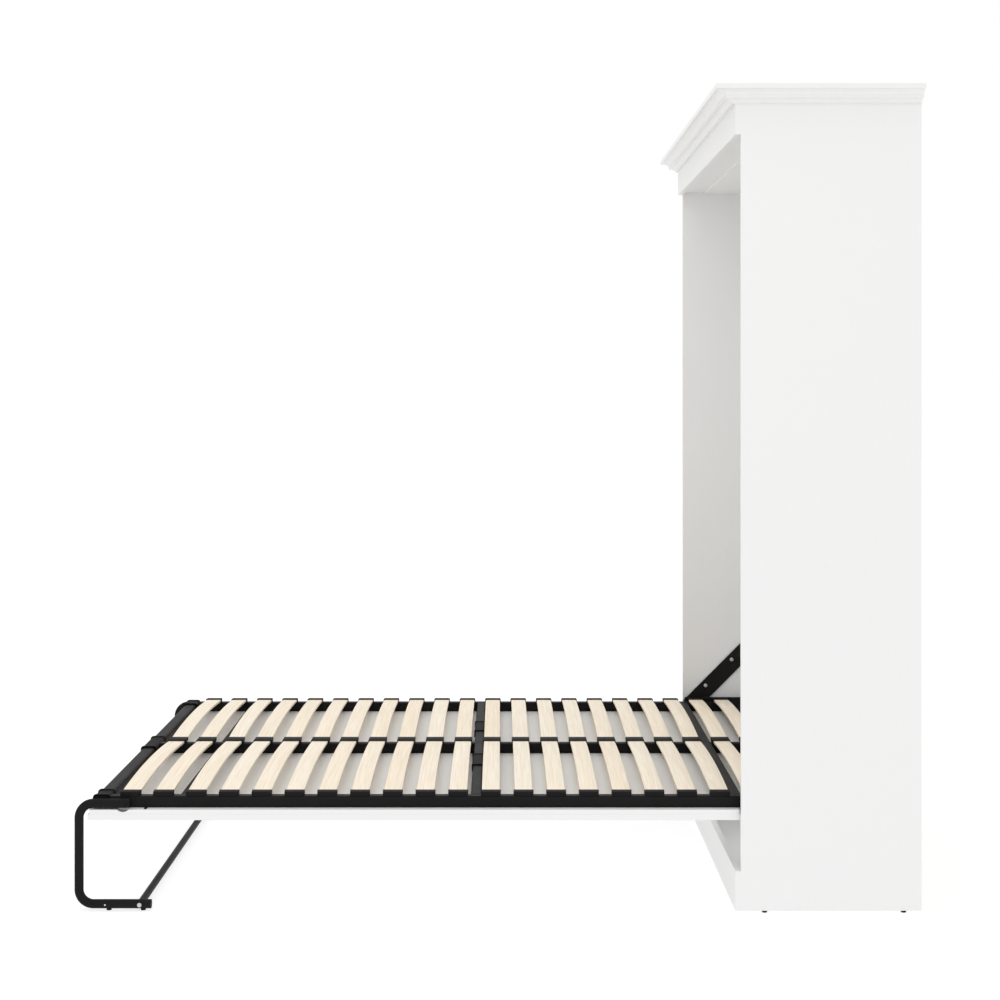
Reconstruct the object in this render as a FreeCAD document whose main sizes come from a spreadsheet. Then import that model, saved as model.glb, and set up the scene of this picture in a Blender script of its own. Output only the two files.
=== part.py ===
"""Wall bed: a crowned cabinet whose bed folds down on two pivots and stands on a bent tube leg.

Millimetres, +Z up. X runs across the bed, Y from the foot (-Y) to the wall (+Y), and the origin is
the middle of the whole footprint on the floor. The bed is modelled lowered, as it is slept on.
"""
import FreeCAD
import Part
import Sketcher
import math
import os
import re

doc = FreeCAD.newDocument("wall_bed")
sheet = doc.addObject("Spreadsheet::Sheet", "sizes")

# Driving dimensions, one per line: name and millimetres (angles in degrees, counts as numbers).
SIZES = [
    # Cabinet boards
    ("board", 16),
    ("side_deep", 495),
    ("side_high", 2214),
    ("glide_high", 6),
    ("glide_radius", 7.5),
    ("glide_front", 65),
    ("glide_back", 48),
    ("fascia_high", 83),
    ("base_high", 108),
    ("stretcher_deep", 77),
    ("stretcher_rise", 8),
    ("ceiling_rise", 2),
    ("back_board", 12),
    ("back_seam", 1100),
    ("seam_gap", 2),
    ("wall_rail_high", 100),
    ("wall_hole_radius", 4),
    ("wall_hole_spacing", 812.8),
    # Crown moulding
    ("crown_high", 48),
    ("crown_out", 58),
    ("crown_seat_out", 2),
    ("crown_shadow", 0.8),
    ("crown_bead_out", 9),
    ("crown_bead_high", 5),
    ("crown_step_out", 30),
    ("crown_step_low", 13),
    ("crown_step_high", 22),
    ("crown_lip_low", 35),
    ("crown_ovolo_radius", 26),
    ("crown_cove_radius", 30),
    # Bed panel and where it turns
    ("panel_gap", 6),
    ("finger_gap", 41),
    ("panel_low", 249.5),
    ("pivot_rise", 15.5),
    # Steel frame of the bed
    ("frame_wide", 1524),
    ("frame_inset", 2),
    ("foot_inset", 13),
    ("carrier_thick", 12.5),
    ("carrier_inset", 0.5),
    ("carrier_foot", 4),
    ("carrier_notch", 5),
    ("leg_relief", 0.6),
    ("rail_wide", 30),
    ("rail_high", 32),
    ("tube_wall", 1.5),
    ("tube_round", 4),
    ("foot_rail_wide", 42),
    ("foot_rail_round", 10),
    ("sleeve_wall", 2),
    ("sleeve_long", 72),
    ("middle_sleeve_long", 168),
    ("tie_wide", 20),
    ("tie_shift", 4.5),
    ("foot_tie_shift", 45),
    ("tie_sleeve_long", 162),
    ("tie_sleeve_x", 270),
    ("cross_wide", 30),
    # Slats and their holders
    ("slat_wide", 50),
    ("slat_thick", 8),
    ("slat_count", 21),
    ("slat_bow", 12),
    ("first_slat_in", 111),
    ("last_slat_in", 43),
    ("cap_side", 3),
    ("cap_roof", 2.2),
    ("cap_floor", 1.5),
    ("cap_grip", 22),
    ("cap_flange", 16),
    ("slat_clear", 0.3),
    # Pivot plates, lift brackets and gas springs
    ("plate_thick", 5),
    ("plate_rise", 43),
    ("plate_drop", 12),
    ("plate_front", 12),
    ("plate_margin", 18),
    ("bracket_thick", 6),
    ("bracket_wide", 58),
    ("bracket_edge", 29.1),
    ("bracket_setback", 2),
    ("bracket_toe", 16),
    ("bracket_end", 22),
    ("bracket_clear", 31.5),
    ("bolt_first", 104),
    ("bolt_aside", 10.8),
    ("bolt_pitch", 133),
    ("bolt_count", 3),
    ("bolt_radius", 4),
    ("bolt_head_radius", 7),
    ("bolt_head_high", 4),
    ("bolt_depth", 11),
    ("pin_radius", 8),
    ("collar_radius", 12),
    ("pin_clear", 0.05),
    ("side_clear", 0.5),
    ("spring_arm", 200),
    ("arm_rise", 15),
    ("spring_radius", 9),
    ("spring_side", 1.5),
    ("spring_bore", 7),
    ("spring_neck", 12),
    ("spring_cap", 14),
    ("rod_radius", 4),
    ("rod_out", 44),
    ("piston_spare", 18),
    ("piston_radius", 6.6),
    ("piston_long", 14),
    ("eye_radius", 11),
    ("eye_thick", 9),
    ("stud_radius", 5),
    # Folding leg
    ("leg_radius", 12.5),
    ("leg_out", 37.5),
    ("leg_side_gap", 3.5),
    ("leg_bend", 40),
    ("leg_pivot_in", 97),
    ("leg_top_end", 15),
    ("leg_glide_high", 4),
    ("leg_glide_radius", 7),
    ("leg_glide_first", 58),
    ("leg_glide_shift", 8.5),
    ("leg_pin_radius", 5),
    ("leg_pin_head_radius", 8),
    ("leg_pin_head", 2.5),
    ("crossbar_radius", 10),
    ("crossbar_in", 144),
    ("leg_tail", 27.5),
    ("leg_bolt_head", 6),
    ("leg_rivet_in", 49),
    ("leg_rivet_radius", 2.5),
    ("leg_rivet_out", 0.8),
    ("plug_long", 3),
    ("plug_inside", 6),
    ("overrun", 5),
]
for row, (name, number) in enumerate(SIZES, start=1):
    sheet.set("A%d" % row, name)
    sheet.set("B%d" % row, str(number))
    sheet.setAlias("B%d" % row, name)
doc.recompute()

# Places and sizes that follow from the driving dimensions.
DERIVED = {
    "spring_room": "plate_thick + bracket_thick + 2 * (spring_radius + spring_side)",
    "inner_half": "rail_out + max(spring_room; 2 * (leg_radius + leg_side_gap))",
    "half_wide": "inner_half + board",
    "top_z": "glide_high + side_high",
    "fascia_low": "top_z - fascia_high",
    "base_top": "glide_high + base_high",
    "closed_low": "base_top + panel_gap",
    "closed_high": "fascia_low - finger_gap",
    "bed_fore": "closed_high - pivot_z - (pivot_z - panel_low)",
    "wall_y": "(side_deep + board + bed_fore + leg_out) / 2",
    "edge_y": "wall_y - side_deep",
    "front_y": "edge_y - board",
    "back_y": "wall_y - back_board",
    "top_low": "fascia_low + ceiling_rise",
    "pivot_y": "front_y + pivot_z - panel_low",
    "foot_y": "front_y - bed_fore",
    "head_y": "pivot_y + pivot_z - closed_low",
    "panel_half": "bracket_in - side_clear",
    "panel_top": "panel_low + board",
    "pivot_z": "panel_top + pivot_rise",
    "rail_low": "panel_top + carrier_thick",
    "rail_top": "rail_low + rail_high",
    "rail_out": "frame_wide / 2",
    "rail_in": "rail_out - rail_wide",
    "foot_rail_y": "foot_y + foot_inset",
    "frame_head_y": "head_y - frame_inset",
    "centre_half": "rail_wide / 2",
    "first_slat_y": "foot_y + first_slat_in",
    "slat_pitch": "(frame_head_y - last_slat_in - first_slat_y) / (slat_count - 1)",
    "slat_low": "rail_top + cap_floor",
    "cap_wide": "slat_wide + 2 * cap_side",
    "cap_top": "slat_low + slat_thick + slat_clear + cap_roof",
    "slat_out": "rail_in + cap_grip",
    "slat_in": "centre_half + cap_flange - cap_grip",
    "plate_out": "rail_out + plate_thick",
    "bracket_in": "inner_half - bracket_thick",
    "spring_x": "(plate_out + bracket_in) / 2",
    "bracket_tip": "(bracket_end + bracket_wide - bracket_edge) / sqrt(2)",
    "bracket_reach": "back_y - bracket_clear - bracket_tip - pivot_y",
    "anchor_y": "pivot_y + bracket_reach",
    "anchor_z": "pivot_z + bracket_reach",
    "arm_y": "pivot_y + spring_arm",
    "arm_z": "pivot_z + arm_rise",
    "spring_rest": "sqrt((anchor_y - arm_y) ^ 2 + (anchor_z - arm_z) ^ 2)",
    "spring_long": "spring_rest - rod_out",
    "rod_inside": "spring_long - 2 * spring_cap - piston_long - piston_spare",
    "leg_x": "inner_half - leg_side_gap - leg_radius",
    "leg_high_z": "rail_low + rail_high / 2",
    "leg_low_z": "leg_glide_high + leg_radius",
    "leg_front_y": "foot_y - leg_out + leg_radius",
    "leg_pivot_y": "foot_y + leg_pivot_in",
    "leg_top_y": "leg_pivot_y + leg_top_end",
    "crossbar_y": "foot_y + crossbar_in",
    "leg_end_y": "crossbar_y + leg_tail",
}
WORD = re.compile(r"[a-z_]+")
SIZE_NAMES = {name for name, number in SIZES}


def formula(text):
    """The text as a document expression: derived names opened up, sizes read from the sheet."""
    def swap(match):
        name = match.group(0)
        if name in DERIVED:
            return "(" + formula(DERIVED[name]) + ")"
        return "sizes." + name if name in SIZE_NAMES else name
    return WORD.sub(swap, str(text))


def value(text):
    """The number that an expression comes to now."""
    return float(sheet.evalExpression(formula(text)))


def bind(thing, prop, text):
    """Ties one property of an object to an expression."""
    thing.setExpression(prop, formula(text))


def place(thing, x, y, z):
    """Ties an object's position to three expressions."""
    bind(thing, "Placement.Base.x", x)
    bind(thing, "Placement.Base.y", y)
    bind(thing, "Placement.Base.z", z)


def box(label, x, y, z):
    """A board or block between pairs of X, Y and Z expressions."""
    thing = doc.addObject("Part::Box", label)
    for prop, (low, high) in (("Length", x), ("Width", y), ("Height", z)):
        bind(thing, prop, "(%s) - (%s)" % (high, low))
    place(thing, x[0], y[0], z[0])
    return thing


def rod(label, axis, radius, start, end, across):
    """A cylinder along X, Y or Z between two expressions, at the other two coordinates given."""
    thing = doc.addObject("Part::Cylinder", label)
    bind(thing, "Radius", radius)
    bind(thing, "Height", "(%s) - (%s)" % (end, start))
    if axis == "x":
        thing.Placement.Rotation = FreeCAD.Rotation(FreeCAD.Vector(0, 1, 0), 90)
        place(thing, start, across[0], across[1])
    elif axis == "y":
        thing.Placement.Rotation = FreeCAD.Rotation(FreeCAD.Vector(1, 0, 0), -90)
        place(thing, across[0], start, across[1])
    else:
        place(thing, across[0], across[1], start)
    return thing


def group(label, things):
    """Several separate solids in one node."""
    thing = doc.addObject("Part::Compound", label)
    thing.Links = things
    return thing


def fuse(label, things):
    """One solid made of touching pieces."""
    thing = doc.addObject("Part::MultiFuse", label)
    thing.Shapes = things
    thing.Refine = True
    return thing


def cut(label, base, tool):
    """A solid with another taken out of it."""
    thing = doc.addObject("Part::Cut", label)
    thing.Base = base
    thing.Tool = tool
    thing.Refine = True
    return thing


def mirror(label, source):
    """The same piece on the other side of the bed."""
    thing = doc.addObject("Part::Mirroring", label)
    thing.Source = source
    thing.Base = FreeCAD.Vector(0, 0, 0)
    thing.Normal = FreeCAD.Vector(1, 0, 0)
    return thing


def sketch(body, name, role, rise="0"):
    """An empty sketch on one of the body's own origin planes, raised along the plane's normal."""
    drawing = body.newObject("Sketcher::SketchObject", name)
    plane = [item for item in body.Origin.OriginFeatures if item.Role == role][0]
    drawing.AttachmentSupport = [(plane, "")]
    drawing.MapMode = "FlatFace"
    bind(drawing, "AttachmentOffset.Base.z", rise)
    return drawing


def pin_point(drawing, geometry, end, point):
    """Fixes one point of a sketch at two expressions."""
    for kind, text in (("DistanceX", point[0]), ("DistanceY", point[1])):
        index = drawing.addConstraint(Sketcher.Constraint(kind, -1, 1, geometry, end, value(text)))
        bind(drawing, "Constraints[%d]" % index, text)


def outline(drawing, corners, closed=True):
    """Straight edges and arcs through corners.

    A corner is (x, y), or (x, y, radius) where an arc leads on to the next corner: with a positive
    radius the arc turns left, and with a minus sign before the expression it turns right.
    """
    count = len(corners)
    last = count if closed else count - 1
    flat = [FreeCAD.Vector(value(c[0]), value(c[1]), 0) for c in corners]
    for index in range(last):
        start = flat[index]
        finish = flat[(index + 1) % count]
        if len(corners[index]) == 2:
            edge = drawing.addGeometry(Part.LineSegment(start, finish), False)
            ends = (1, 2)
        else:
            radius = value(corners[index][2])
            chord = finish - start
            across = FreeCAD.Vector(chord.y, -chord.x, 0).normalize()
            half = chord.Length / 2
            sagitta = abs(radius) - math.sqrt(radius ** 2 - half ** 2)
            middle = (start + finish) * 0.5 + across * math.copysign(sagitta, radius)
            edge = drawing.addGeometry(Part.Arc(start, middle, finish), False)
            ends = (1, 2) if radius > 0 else (2, 1)
            bound = drawing.addConstraint(Sketcher.Constraint("Radius", edge, abs(radius)))
            bind(drawing, "Constraints[%d]" % bound, corners[index][2].lstrip("-"))
        pin_point(drawing, edge, ends[0], corners[index])
        pin_point(drawing, edge, ends[1], corners[(index + 1) % count])


def circle(drawing, x, y, radius):
    """A circle of a sketch."""
    round_edge = Part.Circle(FreeCAD.Vector(value(x), value(y), 0), FreeCAD.Vector(0, 0, 1), value(radius))
    edge = drawing.addGeometry(round_edge, False)
    pin_point(drawing, edge, 3, (x, y))
    bound = drawing.addConstraint(Sketcher.Constraint("Radius", edge, value(radius)))
    bind(drawing, "Constraints[%d]" % bound, radius)


def pad(body, drawing, length):
    """A sketch made solid along its normal."""
    solid = body.newObject("PartDesign::Pad", drawing.Name + "_pad")
    solid.Profile = drawing
    bind(solid, "Length", length)
    return solid


def new_body(label):
    """An empty body."""
    return doc.addObject("PartDesign::Body", label)


# Cabinet: two sides, a fascia and a base board across their front edges, top, stretcher and back.
SIDE_X = ("inner_half", "half_wide")
BETWEEN = ("-inner_half", "inner_half")
FULL_WIDTH = ("-half_wide", "half_wide")
side_blank = box("side_blank", SIDE_X, ("edge_y", "wall_y"), ("glide_high", "top_z"))


def off_line(step, aside):
    """Y and Z of a point a step up the 45-degree line from the pivot, and aside up to the front."""
    return ("pivot_y + ((%s) - (%s)) / sqrt(2)" % (step, aside),
            "pivot_z + ((%s) + (%s)) / sqrt(2)" % (step, aside))


BOLTS = [
    off_line("bolt_first + %d * bolt_pitch" % index, "bolt_aside") for index in range(int(value("bolt_count")))
]
insert_holes = group("insert_holes", [
    rod("insert_hole", "x", "bolt_radius + pin_clear", "inner_half - overrun", "inner_half + bolt_depth", point)
    for point in BOLTS
])
side_right = cut("side_panel_right", side_blank, insert_holes)
side_left = mirror("side_panel_left", side_right)
fascia = box("fascia", FULL_WIDTH, ("front_y", "edge_y"), ("fascia_low", "top_z"))
base_board = box("base_board", FULL_WIDTH, ("front_y", "edge_y"), ("glide_high", "base_top"))
top_panel = box("top_panel", BETWEEN, ("edge_y + stretcher_deep", "wall_y"), ("top_low", "top_low + board"))
stretcher = box("top_stretcher", BETWEEN, ("edge_y", "edge_y + stretcher_deep"),
                ("fascia_low + stretcher_rise", "fascia_low + stretcher_rise + board"))
floor_panel = box("floor_panel", BETWEEN, ("edge_y", "back_y"), ("glide_high", "glide_high + board"))
back_lower = box("back_panel_lower", BETWEEN, ("back_y", "wall_y"), ("glide_high", "back_seam"))
back_upper = box("back_panel_upper", BETWEEN, ("back_y", "wall_y"),
                 ("back_seam + seam_gap", "top_low - wall_rail_high"))
rail_blank = box("wall_rail_blank", BETWEEN, ("wall_y - board", "wall_y"),
                 ("top_low - wall_rail_high", "top_low"))
wall_holes = group("wall_holes", [
    rod("wall_hole", "y", "wall_hole_radius", "wall_y - board - overrun", "wall_y + overrun",
        ("%s * wall_hole_spacing / 2" % side, "top_low - wall_rail_high / 2"))
    for side in ("-1", "1")
])
wall_rail = cut("wall_rail", rail_blank, wall_holes)
glides = group("levelling_glides", [
    rod("glide", "z", "glide_radius", "0", "glide_high", ("%s * (half_wide - board / 2)" % side, y))
    for side in ("-1", "1")
    for y in ("edge_y + glide_front", "wall_y - glide_back")
])

# Crown: one moulding profile run along the front and both sides, mitred at the two front corners.
CROWN = [
    ("0", "0"),
    ("crown_seat_out", "0"),
    ("crown_seat_out", "crown_shadow"),
    ("crown_bead_out", "crown_shadow"),
    ("crown_bead_out", "crown_bead_high", "-crown_ovolo_radius"),
    ("crown_step_out", "crown_step_low"),
    ("crown_step_out", "crown_step_high", "-crown_cove_radius"),
    ("crown_out", "crown_lip_low"),
    ("crown_out", "crown_high"),
    ("0", "crown_high"),
]


def crown_run(label, role, place_corner, length, mitres):
    """A length of crown: its profile padded along one axis, with the corners of the plan cut off."""
    body = new_body(label)
    profile = sketch(body, label + "_profile", role, length[0])
    outline(profile, [place_corner(*corner) for corner in CROWN])
    pad(body, profile, "(%s) - (%s)" % (length[1], length[0]))
    plan = sketch(body, label + "_mitres", "XY_Plane", "top_z - overrun")
    for corners in mitres:
        outline(plan, corners)
    pocket = body.newObject("PartDesign::Pocket", label + "_mitre_cut")
    pocket.Profile = plan
    pocket.Reversed = True
    bind(pocket, "Length", "crown_high + 2 * overrun")
    return body


def swap_turn(radius):
    """The same arc drawn in a mirrored profile."""
    return [text[1:] if text.startswith("-") else "-" + text for text in radius]


def front_corner(out, up, *radius):
    """A profile corner on the YZ plane, standing out from the fascia towards the foot."""
    return ("front_y - (%s)" % out, "top_z + (%s)" % up, *swap_turn(radius))


def side_corner(out, up, *radius):
    """A profile corner on the XZ plane, standing out from the right-hand side."""
    return ("half_wide + (%s)" % out, "top_z + (%s)" % up, *radius)


FRONT_RUN = ("-half_wide - crown_out", "half_wide + crown_out")
front_mitres = [
    [("%s * half_wide" % side, "front_y"), ("%s * (half_wide + crown_out + overrun)" % side, "front_y"),
     ("%s * (half_wide + crown_out + overrun)" % side, "front_y - crown_out - overrun")]
    for side in ("-1", "1")
]
crown_front = crown_run("crown_front", "YZ_Plane", front_corner, FRONT_RUN, front_mitres)
side_mitre = [
    [("half_wide", "front_y"), ("half_wide", "front_y - crown_out - overrun"),
     ("half_wide + crown_out + overrun", "front_y - crown_out - overrun")]
]
crown_right = crown_run("crown_right", "XZ_Plane", side_corner, ("-wall_y", "-front_y + crown_out"), side_mitre)
crown_left = mirror("crown_left", crown_right)

# Lift bracket: a steel strip at 45 degrees from the pivot up to the gas spring's upper end.
BRACKET_TOP = "bracket_reach * sqrt(2) + bracket_end"
BRACKET_FRONT = "edge_y + bracket_setback"
bracket_body = new_body("lift_bracket_right")
bracket_plan = sketch(bracket_body, "bracket_plan", "YZ_Plane", "bracket_in")
outline(bracket_plan, [
    (BRACKET_FRONT, "pivot_z + %s - pivot_y + bracket_edge * sqrt(2)" % BRACKET_FRONT),
    (BRACKET_FRONT, "pivot_z - bracket_toe"),
    ("pivot_y - bracket_toe + (bracket_wide - bracket_edge) * sqrt(2)", "pivot_z - bracket_toe"),
    off_line(BRACKET_TOP, "bracket_edge - bracket_wide"),
    off_line(BRACKET_TOP, "bracket_edge"),
])
circle(bracket_plan, "pivot_y", "pivot_z", "pin_radius + pin_clear")
circle(bracket_plan, "anchor_y", "anchor_z", "stud_radius + pin_clear")
for point in BOLTS:
    circle(bracket_plan, *point, "bolt_radius + pin_clear")
pad(bracket_body, bracket_plan, "bracket_thick")
bracket_left = mirror("lift_bracket_left", bracket_body)

bolts_right = group("bracket_bolts_right", [
    fuse("bracket_bolt", [
        rod("bolt_head", "x", "bolt_head_radius", "bracket_in - bolt_head_high", "bracket_in", point),
        rod("bolt_shank", "x", "bolt_radius", "bracket_in", "inner_half + bolt_depth", point),
    ])
    for point in BOLTS
])
bolts_left = mirror("bracket_bolts_left", bolts_right)
PIVOT = ("pivot_y", "pivot_z")
pivot_pin = fuse("pivot_pin_right", [
    rod("pivot_shaft", "x", "pin_radius", "rail_out + side_clear", "inner_half", PIVOT),
    rod("pivot_collar", "x", "collar_radius", "plate_out + side_clear", "bracket_in", PIVOT),
])
pivot_pin_left = mirror("pivot_pin_left", pivot_pin)
ANCHOR = ("anchor_y", "anchor_z")
anchor_stud = fuse("spring_anchor_right", [
    rod("anchor_shaft", "x", "stud_radius", "spring_x - eye_thick / 2 - side_clear", "inner_half", ANCHOR),
    rod("anchor_collar", "x", "bolt_head_radius", "spring_x + eye_thick / 2 + side_clear", "bracket_in",
        ANCHOR),
])
anchor_left = mirror("spring_anchor_left", anchor_stud)

# Gas springs: a tube hanging from the bracket and a rod that pushes on the bed behind its pivot.
spring_lean = math.degrees(math.atan2(value("anchor_y - arm_y"), value("anchor_z - arm_z")))


def turned(label, corners):
    """A solid of revolution about Z whose profile is drawn on the XZ plane."""
    body = new_body(label)
    profile = sketch(body, label + "_profile", "XZ_Plane")
    outline(profile, corners)
    solid = body.newObject("PartDesign::Revolution", label + "_turn")
    solid.Profile = profile
    solid.ReferenceAxis = (profile, ["V_Axis"])
    solid.Angle = 360
    return body


def hang(whole):
    """Puts a gas spring part, drawn hanging below the origin, at the bracket and leans it to the bed."""
    whole.Placement.Rotation = FreeCAD.Rotation(FreeCAD.Vector(1, 0, 0), -spring_lean)
    place(whole, "spring_x", "anchor_y", "anchor_z")
    return whole


spring_barrel = turned("spring_barrel", [
    ("0", "-spring_cap"), ("spring_radius", "-spring_cap"), ("spring_radius", "-spring_long"),
    ("rod_radius + pin_clear", "-spring_long"), ("rod_radius + pin_clear", "-spring_long + spring_neck"),
    ("spring_bore", "-spring_long + spring_neck"), ("spring_bore", "-2 * spring_cap"), ("0", "-2 * spring_cap"),
])
upper_eye = rod("upper_eye", "x", "eye_radius", "-eye_thick / 2", "eye_thick / 2", ("0", "0"))
upper_neck = rod("upper_neck", "z", "stud_radius", "-spring_cap", "0", ("0", "0"))
upper_hole = rod("upper_hole", "x", "stud_radius + pin_clear", "-eye_thick", "eye_thick", ("0", "0"))
barrel_solid = fuse("barrel_solid", [spring_barrel, upper_eye, upper_neck])
spring_tube = hang(cut("spring_tube_right", barrel_solid, upper_hole))
spring_tube_left = mirror("spring_tube_left", spring_tube)
piston_rod = turned("piston_rod", [
    ("0", "-spring_rest"), ("rod_radius", "-spring_rest"),
    ("rod_radius", "-spring_long + rod_inside"), ("piston_radius", "-spring_long + rod_inside"),
    ("piston_radius", "-spring_long + rod_inside + piston_long"),
    ("0", "-spring_long + rod_inside + piston_long"),
])
lower_eye = rod("lower_eye", "x", "eye_radius", "-eye_thick / 2", "eye_thick / 2", ("0", "-spring_rest"))
lower_hole = rod("lower_hole", "x", "stud_radius + pin_clear", "-eye_thick", "eye_thick", ("0", "-spring_rest"))
rod_solid = fuse("rod_solid", [piston_rod, lower_eye])
spring_rod = hang(cut("spring_rod_right", rod_solid, lower_hole))
spring_rod_left = mirror("spring_rod_left", spring_rod)

# Bed panel: the front of the closed cabinet, which carries the steel frame.
face_panel = box("face_panel", ("-panel_half", "panel_half"), ("foot_y", "head_y"), ("panel_low", "panel_top"))
# Carrier board: lies on the panel under the frame, notched round the pivots and hollowed under the leg's ends.
CARRIER_X = "(panel_half - carrier_inset)"
LEG_PIVOT = ("leg_pivot_y", "leg_high_z")
carrier_blank = box("carrier_blank", ("-%s" % CARRIER_X, CARRIER_X),
                    ("foot_y + carrier_foot", "frame_head_y - carrier_notch"), ("panel_top", "rail_low"))
pivot_notch = box("pivot_notch", ("rail_out - carrier_notch", "panel_half + overrun"),
                  ("pivot_y - plate_front - carrier_notch", "head_y + overrun"),
                  ("panel_top - overrun", "rail_low + overrun"))
leg_hollow = rod("leg_hollow", "x", "sqrt((leg_top_end + plug_long) ^ 2 + leg_radius ^ 2) + leg_relief",
                 "rail_out", "panel_half + overrun", LEG_PIVOT)
carrier_cuts = group("carrier_cuts", [pivot_notch, leg_hollow, mirror("pivot_notch_other", pivot_notch),
                                      mirror("leg_hollow_other", leg_hollow)])
carrier_panel = cut("carrier_panel", carrier_blank, carrier_cuts)


def tube(label, along, x, y, z, corner):
    """A rectangular steel tube with rounded corners, open at both ends along X or Y."""
    body = new_body(label)
    if along == "x":
        role, flat, start, end = "YZ_Plane", y, x[0], x[1]
    else:
        role, flat, start, end = "XZ_Plane", x, "-(%s)" % y[1], "-(%s)" % y[0]
    section = sketch(body, label + "_section", role, start)
    for inset, turn in (("0", corner), ("tube_wall", "(%s - tube_wall)" % corner)):
        west = "(%s) + %s" % (flat[0], inset)
        east = "(%s) - %s" % (flat[1], inset)
        south = "(%s) + %s" % (z[0], inset)
        north = "(%s) - %s" % (z[1], inset)
        outline(section, [
            ("%s + %s" % (west, turn), south), ("%s - %s" % (east, turn), south, turn),
            (east, "%s + %s" % (south, turn)), (east, "%s - %s" % (north, turn), turn),
            ("%s - %s" % (east, turn), north), ("%s + %s" % (west, turn), north, turn),
            (west, "%s - %s" % (north, turn)), (west, "%s + %s" % (south, turn), turn),
        ])
    pad(body, section, "(%s) - (%s)" % (end, start))
    return body


# Steel frame: two long rails and a middle rail between a foot rail and a head rail, tied across.
RAIL_Z = ("rail_low", "rail_top")
FOOT_RAIL_Y = ("foot_rail_y", "foot_rail_y + foot_rail_wide")
LONG_Y = ("foot_rail_y + foot_rail_wide + sleeve_wall", "frame_head_y - rail_wide")
rail_right = tube("side_rail_right", "y", ("rail_in", "rail_out"), LONG_Y, RAIL_Z, "tube_round")
rail_left = mirror("side_rail_left", rail_right)
rail_middle = tube("centre_rail", "y", ("-centre_half", "centre_half"), LONG_Y, RAIL_Z, "tube_round")
foot_rail = tube("foot_rail", "x", ("-rail_out", "rail_out"), FOOT_RAIL_Y, RAIL_Z, "foot_rail_round")
head_rail = tube("head_rail", "x", ("-rail_out", "rail_out"), ("frame_head_y - rail_wide", "frame_head_y"),
                 RAIL_Z, "tube_round")


def between_slats(number):
    """Y of the gap after the slat of that number, counted from the foot."""
    return "first_slat_y + (%s - 0.5) * slat_pitch" % number


def tie(label, middle, wide, z):
    """A cross tube in two halves, one each side of the middle rail."""
    y = ("%s - %s / 2" % (middle, wide), "%s + %s / 2" % (middle, wide))
    half = tube(label + "_half", "x", ("centre_half", "rail_in"), y, z, "tube_round")
    return group(label, [half, mirror(label + "_other", half)])


TIE_Z = ("rail_top - tie_wide", "rail_top")
MIDDLE_TIE_Y = "(%s + tie_shift)" % between_slats(11)
foot_tie = tie("foot_tie", "first_slat_y + 2 * slat_pitch - foot_tie_shift", "tie_wide",
               ("rail_low", "rail_low + tie_wide"))
middle_tie = tie("middle_tie", MIDDLE_TIE_Y, "cross_wide", TIE_Z)
head_tie = tie("head_tie", between_slats(19), "cross_wide", TIE_Z)


def sleeve(label, x, y, z):
    """A moulded saddle on a tube: a wall over its top and down both its sides, open underneath."""
    outer = box(label + "_outer", x, ("%s - sleeve_wall" % y[0], "%s + sleeve_wall" % y[1]),
                (z[0], "%s + sleeve_wall" % z[1]))
    inner = box(label + "_inner", ("(%s) - overrun" % x[0], "(%s) + overrun" % x[1]), y,
                ("%s - overrun" % z[0], z[1]))
    return cut(label, outer, inner)


tie_sleeve = sleeve("tie_sleeve", ("tie_sleeve_x - tie_sleeve_long / 2", "tie_sleeve_x + tie_sleeve_long / 2"),
                    ("%s - cross_wide / 2" % MIDDLE_TIE_Y, "%s + cross_wide / 2" % MIDDLE_TIE_Y), TIE_Z)
tie_sleeves = group("tie_sleeves", [tie_sleeve, mirror("tie_sleeve_other", tie_sleeve)])

# Slats: bowed birch strips, flat where they enter their holders, in two rows.
SLAT_FIRST = "first_slat_y - slat_wide / 2"
slat_body = new_body("slats_right")
slat_side = sketch(slat_body, "slat_side", "XZ_Plane", "-(%s) - slat_wide" % SLAT_FIRST)
BOW_IN = "slat_in + cap_grip"
BOW_OUT = "slat_out - cap_grip"
BOW_RADIUS = "(((%s) - (%s)) ^ 2 / 4 + slat_bow ^ 2) / (2 * slat_bow)" % (BOW_OUT, BOW_IN)
SLAT_TOP = "slat_low + slat_thick"
outline(slat_side, [
    ("slat_in", "slat_low"), (BOW_IN, "slat_low", "-(%s)" % BOW_RADIUS), (BOW_OUT, "slat_low"),
    ("slat_out", "slat_low"), ("slat_out", SLAT_TOP), (BOW_OUT, SLAT_TOP, BOW_RADIUS), (BOW_IN, SLAT_TOP),
    ("slat_in", SLAT_TOP),
])
pad(slat_body, slat_side, "slat_wide")


def repeat(body):
    """One copy of the body's features for each slat, along +Y."""
    body.AllowCompound = True
    row = body.newObject("PartDesign::LinearPattern", body.Label + "_row")
    row.Originals = [item for item in body.Group if item.isDerivedFrom("PartDesign::FeatureAddSub")]
    along = [item for item in body.Origin.OriginFeatures if item.Role == "Y_Axis"][0]
    row.Direction = (along, [""])
    bind(row, "Length", "(slat_count - 1) * slat_pitch")
    bind(row, "Occurrences", "slat_count")
    body.Tip = row


repeat(slat_body)
slats_left = mirror("slats_left", slat_body)

# Slat holders: moulded caps on the rails, open where a slat goes in.
CAP_FIRST = "first_slat_y - cap_wide / 2"


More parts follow.
